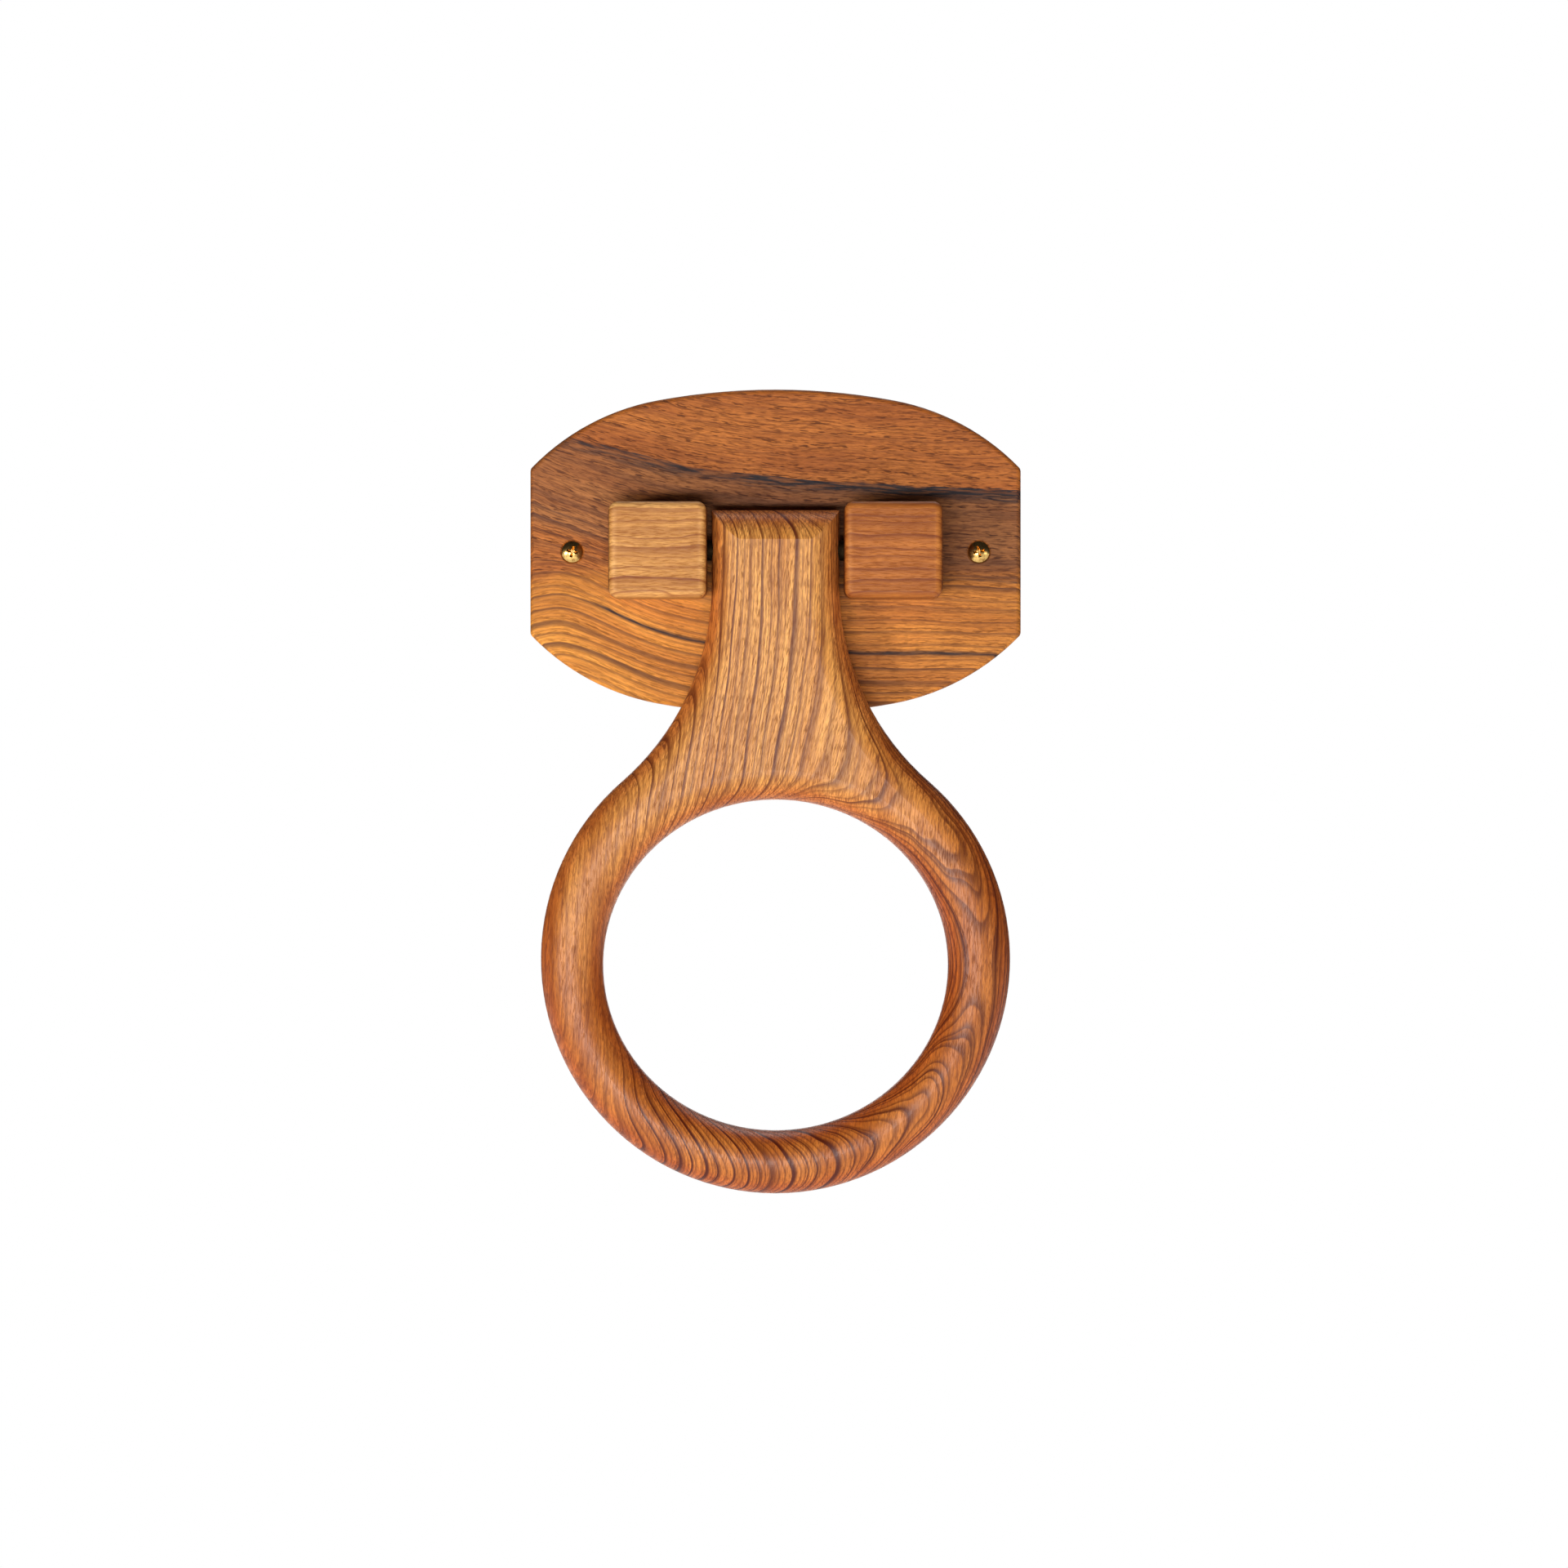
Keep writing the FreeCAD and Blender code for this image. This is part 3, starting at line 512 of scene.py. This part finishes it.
def thread_radius(y, angle):
    """Radius of the threaded end at y mm from the head's rim: one sharp ridge along a helix."""
    to_point = min(1.0, (SCREW_LENGTH - y) / POINT_LENGTH)
    root = POINT_RADIUS + (ROOT_RADIUS - POINT_RADIUS) * to_point
    run_in = min(1.0, (y - THREAD_START) / THREAD_PITCH)
    height = (CREST_RADIUS - ROOT_RADIUS) * run_in * to_point
    turn = y / THREAD_PITCH - angle / (2 * math.pi)
    from_ridge = abs(turn - math.floor(turn) - 0.5) * 2
    ridge = min(1.0, max(0.0, 1.0 - from_ridge) / THREAD_FLANK)
    blend = (1.0 - run_in) * max(0.0, SHANK_RADIUS - root)
    return root + blend + height * max(0.0, (ridge - 1 + THREAD_FLANK) / THREAD_FLANK)


def lathe(rings):
    """Vertices and faces of a closed surface of rings along +Y: each is y and a radius function."""
    vertices, faces = [], []
    for y, radius in rings:
        for step in range(AROUND):
            angle = 2 * math.pi * step / AROUND
            r = radius(y, angle)
            vertices.append((r * math.sin(angle) * MM, y * MM, r * math.cos(angle) * MM))
    for ring in range(len(rings) - 1):
        for step in range(AROUND):
            after = (step + 1) % AROUND
            a, b = ring * AROUND + step, ring * AROUND + after
            faces.append((a, b, b + AROUND, a + AROUND))
    faces.append(tuple(reversed(range(AROUND))))
    last = (len(rings) - 1) * AROUND
    faces.append(tuple(last + step for step in range(AROUND)))
    return vertices, faces


def head_rings(raised):
    """From the middle of the head out to its rim, then down the countersunk cone to the shank."""
    rings = []
    if raised:
        sphere = (HEAD_RADIUS ** 2 + HEAD_DOME ** 2) / (2 * HEAD_DOME)
        for share in DOME_SHARES:
            r = HEAD_RADIUS * share
            rise = math.sqrt(sphere ** 2 - r ** 2) - (sphere - HEAD_DOME)
            rings.append((-HEAD_RIM - rise, r))
    else:
        rings += [(-HEAD_RIM, HEAD_RADIUS * 0.04), (-HEAD_RIM, HEAD_RADIUS * 0.96)]
    rings += [(-HEAD_RIM, HEAD_RADIUS - 0.04), (-HEAD_RIM + 0.04, HEAD_RADIUS), (0.0, HEAD_RADIUS),
              (CONE_LENGTH - 0.2, SHANK_RADIUS + 0.17), (CONE_LENGTH + 0.3, SHANK_RADIUS),
              (THREAD_START, SHANK_RADIUS)]
    return [(y, lambda y, angle, r=r: r) for y, r in rings]


def thread_rings():
    """From the start of the thread to the point, a dozen to each turn."""
    steps = math.ceil((SCREW_LENGTH - THREAD_START) / THREAD_PITCH * STEPS_PER_TURN)
    span = SCREW_LENGTH - THREAD_START
    return [(THREAD_START + span * step / steps, thread_radius) for step in range(1, steps + 1)]


def recess_wing(turned):
    """A tapering wing of the cross recess, as a closed mesh object that cuts the head."""
    top, bottom = -(HEAD_RIM + HEAD_DOME + 0.3), 1.6
    long_top, long_bottom, wide_top, wide_bottom = 2.0, 0.55, 0.46, 0.30
    corners = []
    for y, half_long, half_wide in ((top, long_top, wide_top), (bottom, long_bottom, wide_bottom)):
        for across, up in ((-1, -1), (1, -1), (1, 1), (-1, 1)):
            x, z = across * half_long, up * half_wide
            corners.append((z * MM, y * MM, -x * MM) if turned else (x * MM, y * MM, z * MM))
    faces = [(0, 1, 2, 3), (7, 6, 5, 4)] + [(n, n + 4, (n + 1) % 4 + 4, (n + 1) % 4) for n in range(4)]
    mesh = bpy.data.meshes.new("wing")
    mesh.from_pydata(corners, [], faces)
    return link(mesh)


def link(data):
    """Makes an object of a mesh, light or camera, with the same name, and puts it in the scene."""
    item = bpy.data.objects.new(data.name, data)
    bpy.context.collection.objects.link(item)
    return item


def screw_mesh(name, raised):
    """A number 6 wood screw along +Y, with its head's rim at the origin and a cross recess."""
    mesh = bpy.data.meshes.new(name)
    vertices, faces = lathe(head_rings(raised) + thread_rings())
    mesh.from_pydata(vertices, [], faces)
    blank = link(mesh)
    wings = [recess_wing(False), recess_wing(True)]
    for wing in wings:
        cut = blank.modifiers.new("cut", "BOOLEAN")
        cut.object = wing
        cut.operation = "DIFFERENCE"
        cut.solver = "EXACT"
    evaluated = blank.evaluated_get(bpy.context.evaluated_depsgraph_get())
    finished = bpy.data.meshes.new_from_object(evaluated)
    for item in [blank, *wings]:
        bpy.data.objects.remove(item)
    finished.name = name
    finished.shade_smooth()
    finished.set_sharp_from_angle(angle=math.radians(SHARP_ANGLE))
    return finished


def place_screws(material):
    """Puts a threaded screw in place of each plain one, pointing the same way."""
    meshes = {raised: screw_mesh("raised" if raised else "flat", raised) for raised in (True, False)}
    for mesh in meshes.values():
        mesh.materials.append(material)
    turn = 0.0
    for node in sorted(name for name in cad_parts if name.endswith("_screw")):
        low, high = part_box(node)
        raised = node.endswith("mount_screw")
        tip = high[1] if raised else low[1]
        forward = 1 if raised else -1
        screw = bpy.data.objects.new("threaded_" + node, meshes[raised])
        bpy.context.collection.objects.link(screw)
        facing = Matrix.Rotation(0.0 if raised else math.pi, 4, "Z")
        turn += TURN_BETWEEN_SCREWS
        place = ((low[0] + high[0]) / 2, tip - forward * SCREW_LENGTH * MM, (low[2] + high[2]) / 2)
        screw.matrix_world = Matrix.Translation(place) @ facing @ Matrix.Rotation(turn, 4, "Y")
        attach(screw, "mount")
        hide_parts(node)


def paint(material, *nodes):
    """Gives CAD nodes a material in place of the plain one that they came with."""
    for name in nodes:
        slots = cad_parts[name].data.materials
        slots.clear()
        slots.append(material)


# ---- camera, lights and floor ----

# In metres, apart from the lens, which is in mm.
VIEW_WIDTH = 0.480
AIM_RIGHT, AIM_UP = 0.0026, 0.0019
LENS, SENSOR_WIDTH = 180.0, 36.0


def make_camera():
    """Straight in front of the object, from far enough away that depth hardly shows."""
    data = bpy.data.cameras.new("camera")
    data.sensor_width = SENSOR_WIDTH
    data.lens = LENS
    camera = link(data)
    low, high = cad_box
    ring_low, ring_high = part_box("ring_handle")
    plane = (ring_low[1] + ring_high[1]) / 2
    distance = VIEW_WIDTH * LENS / SENSOR_WIDTH
    camera.location = (AIM_RIGHT, plane - distance, (low[2] + high[2]) / 2 + AIM_UP)
    camera.rotation_euler = (math.radians(90), 0, 0)
    bpy.context.scene.camera = camera


def area_light(name, azimuth, elevation, distance, width, height, power):
    """A soft oblong light that faces the object, from a direction given as for the views."""
    data = bpy.data.lights.new(name, "AREA")
    data.shape = "RECTANGLE"
    data.size = width
    data.size_y = height
    data.energy = power
    light = link(data)
    a, e = math.radians(azimuth), math.radians(elevation)
    back = Vector((math.sin(a) * math.cos(e), -math.cos(a) * math.cos(e), math.sin(e)))
    centre = (Vector(cad_box[0]) + Vector(cad_box[1])) / 2
    light.location = centre + back * distance
    light.rotation_mode = "QUATERNION"
    light.rotation_quaternion = back.to_track_quat("Z", "Y")


def make_lights():
    """Light from low in front and from the left, a little from the right, and some from behind."""
    area_light("front", azimuth=-7, elevation=-6, distance=1.6, width=0.7, height=0.14, power=12.6)
    area_light("left", azimuth=-38, elevation=-4, distance=1.6, width=0.2, height=0.16, power=7.2)
    area_light("right", azimuth=40, elevation=-3, distance=1.6, width=0.25, height=0.3, power=1.4)
    area_light("above", azimuth=165, elevation=60, distance=1.8, width=1.2, height=1.2, power=12.0)
    area_light("behind", azimuth=180, elevation=0, distance=1.8, width=1.2, height=1.2, power=9.0)


SEEN_WORLD, LIT_WORLD = (1.0, 1.0, 1.0, 1.0), (0.03, 0.03, 0.035, 1.0)


def make_world():
    """White where the camera sees it, and dim where it lights the object."""
    world = bpy.data.worlds.new("surround")
    world.use_nodes = True
    nodes, links = world.node_tree.nodes, world.node_tree.links
    nodes.clear()
    path = nodes.new("ShaderNodeLightPath")
    seen = nodes.new("ShaderNodeBackground")
    lit = nodes.new("ShaderNodeBackground")
    mix = nodes.new("ShaderNodeMixShader")
    output = nodes.new("ShaderNodeOutputWorld")
    seen.inputs[0].default_value = SEEN_WORLD
    lit.inputs[0].default_value = LIT_WORLD
    links.new(path.outputs["Is Camera Ray"], mix.inputs[0])
    links.new(lit.outputs[0], mix.inputs[1])
    links.new(seen.outputs[0], mix.inputs[2])
    links.new(mix.outputs[0], output.inputs[0])
    bpy.context.scene.world = world
    bpy.context.scene.view_settings.view_transform = "Standard"


# The floor's place and size are in metres, and the span over which it grows whiter is in mm.
FLOOR_DROP, FLOOR_HALF, FLOOR_BEHIND = 0.45, 4.0, 3.0
FLOOR_TONES = ((0.78, 0.78, 0.77), (0.84, 0.84, 0.83))
NEAR_GLOW, FAR_GLOW, GLOW_SPAN = (0.55, 0.55, 0.55), (0.95, 0.95, 0.95), (700.0, 2600.0)


def make_floor():
    """A pale floor below the part, ending before the camera would see it, and whiter far away."""
    level = cad_box[0][2] - FLOOR_DROP
    mesh = bpy.data.meshes.new("floor")
    mesh.from_pydata([(-FLOOR_HALF, -FLOOR_HALF, level), (FLOOR_HALF, -FLOOR_HALF, level),
                      (FLOOR_HALF, FLOOR_BEHIND, level), (-FLOOR_HALF, FLOOR_BEHIND, level)],
                     [], [(0, 1, 2, 3)])
    graph = Graph("floor")
    x, y, z = graph.position()
    speckle = graph.noise((x, y, z), (0.02, 0.02, 0.02), 9.0)
    tone = graph.mix(graph.step(speckle, -0.4, 0.4), *FLOOR_TONES)
    away = graph.math("SQRT", graph.add(graph.times(x, x), graph.times(y, y)))
    glow = graph.mix(graph.step(away, *GLOW_SPAN), NEAR_GLOW, FAR_GLOW)
    others = {"Emission Color": glow, "Emission Strength": 1.0}
    mesh.materials.append(graph.surface(tone, 0.8, speckle, 0.05, **others))
    link(mesh)


make_camera()
make_lights()
make_world()
make_floor()
paint(handle_teak(), "ring_handle")
paint(plate_teak(), "back_plate")
for side in BLOCKS:
    paint(block_teak(side), side + "_pivot_block")
# The pin is painted nearly black, as painted shade in the gaps beside the neck.
paint(brass("shade_black_brass", *SHADE_BLACK_BRASS), "pivot_pin")
place_screws(brass("brass", *BRIGHT_BRASS))
